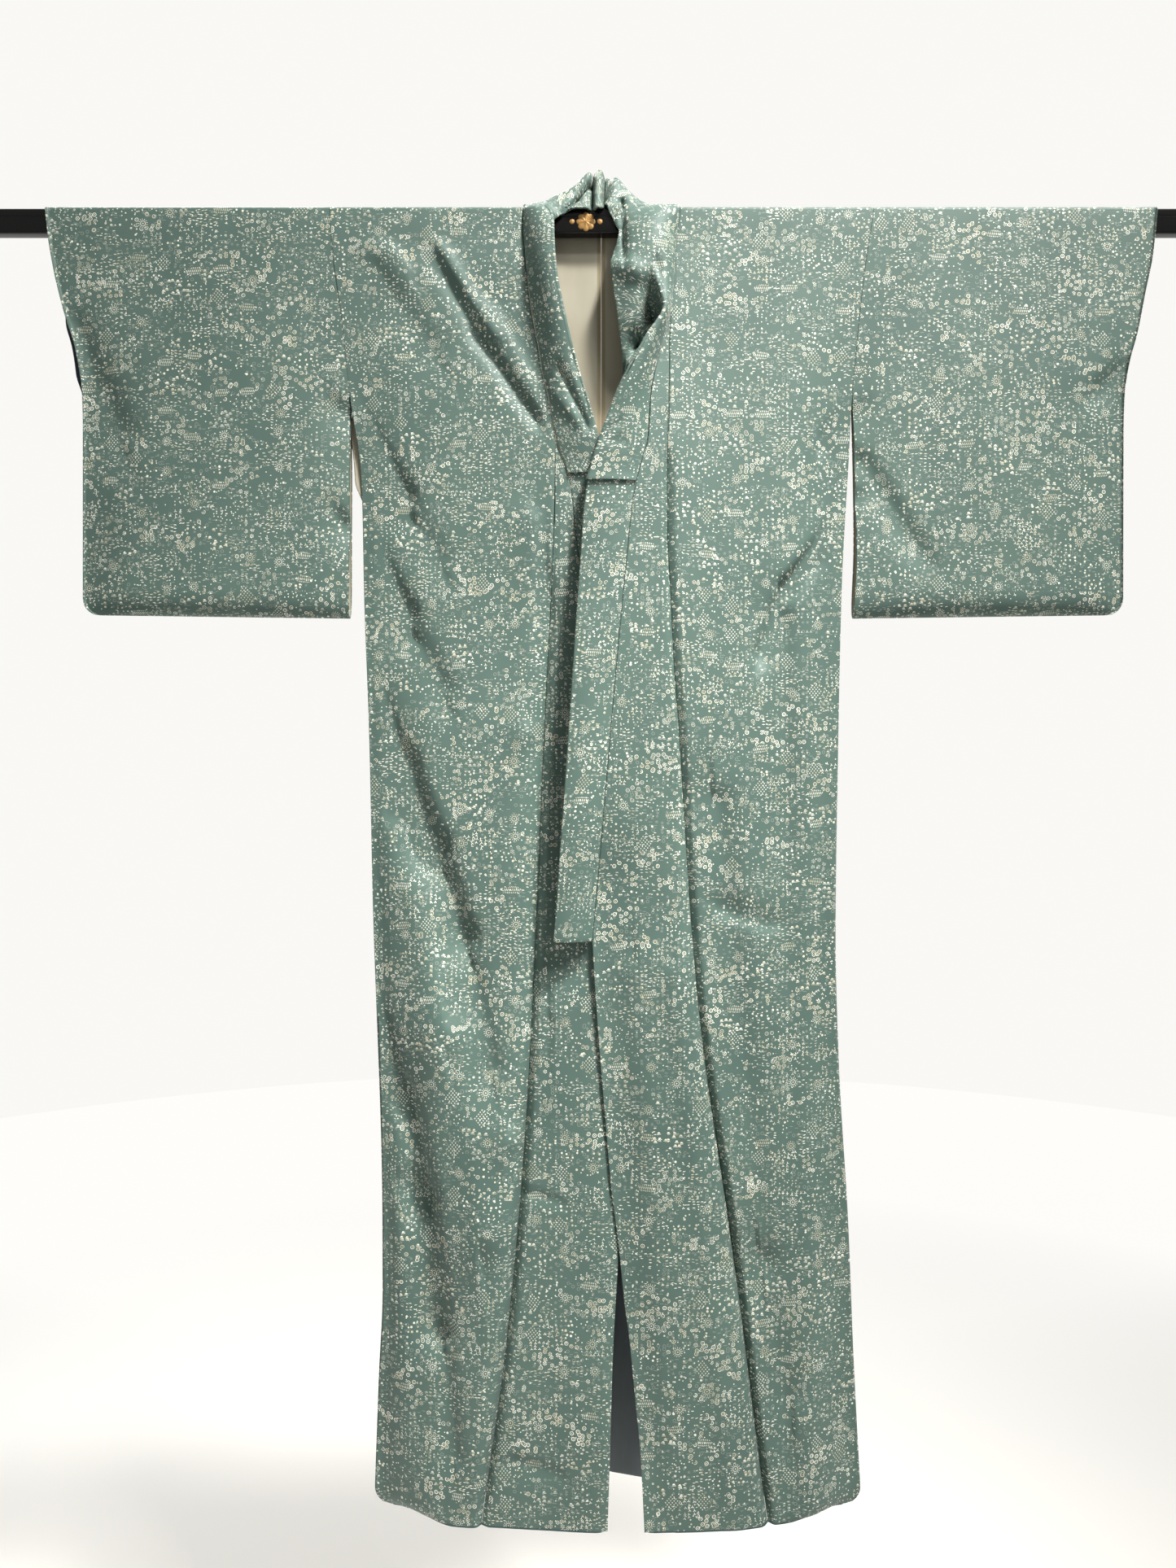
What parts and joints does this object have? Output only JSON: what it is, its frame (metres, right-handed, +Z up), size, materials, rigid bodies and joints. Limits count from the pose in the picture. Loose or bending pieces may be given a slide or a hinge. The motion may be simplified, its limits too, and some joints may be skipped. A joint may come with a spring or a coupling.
{
  "type": "kimono on display rod",
  "caption": "Lined kimono with all-over small print, hung spread on a straight black lacquered display rod.",
  "frame": {"origin": "middle of the display rod, where the kimono's centre line crosses it", "axes": "+X along the rod to the right as seen from the front, +Y towards the back, +Z up"},
  "size_m": [1.5, 0.0878, 1.6259],
  "materials": {
    "silk": "dusty green crepe silk with a small cream print",
    "lining": "smooth cream silk",
    "skirt_lining": "smooth grey-blue silk",
    "facing": "dark navy silk",
    "lacquer": "black gloss lacquer"
  },
  "bodies": {
    "root": {"rod": "lacquer", "front_right": "silk", "front_left": "silk", "back_right": "silk", "back_left": "silk", "okumi_right": "silk", "okumi_left": "silk", "sleeve_right": "silk", "sleeve_left": "silk", "collar": "silk", "over_collar": "silk", "lining_right": "lining", "lining_left": "lining", "skirt_lining_right": "skirt_lining", "skirt_lining_left": "skirt_lining", "cuff_facing_right": "facing", "cuff_facing_left": "facing"}
  },
  "joints": []
}
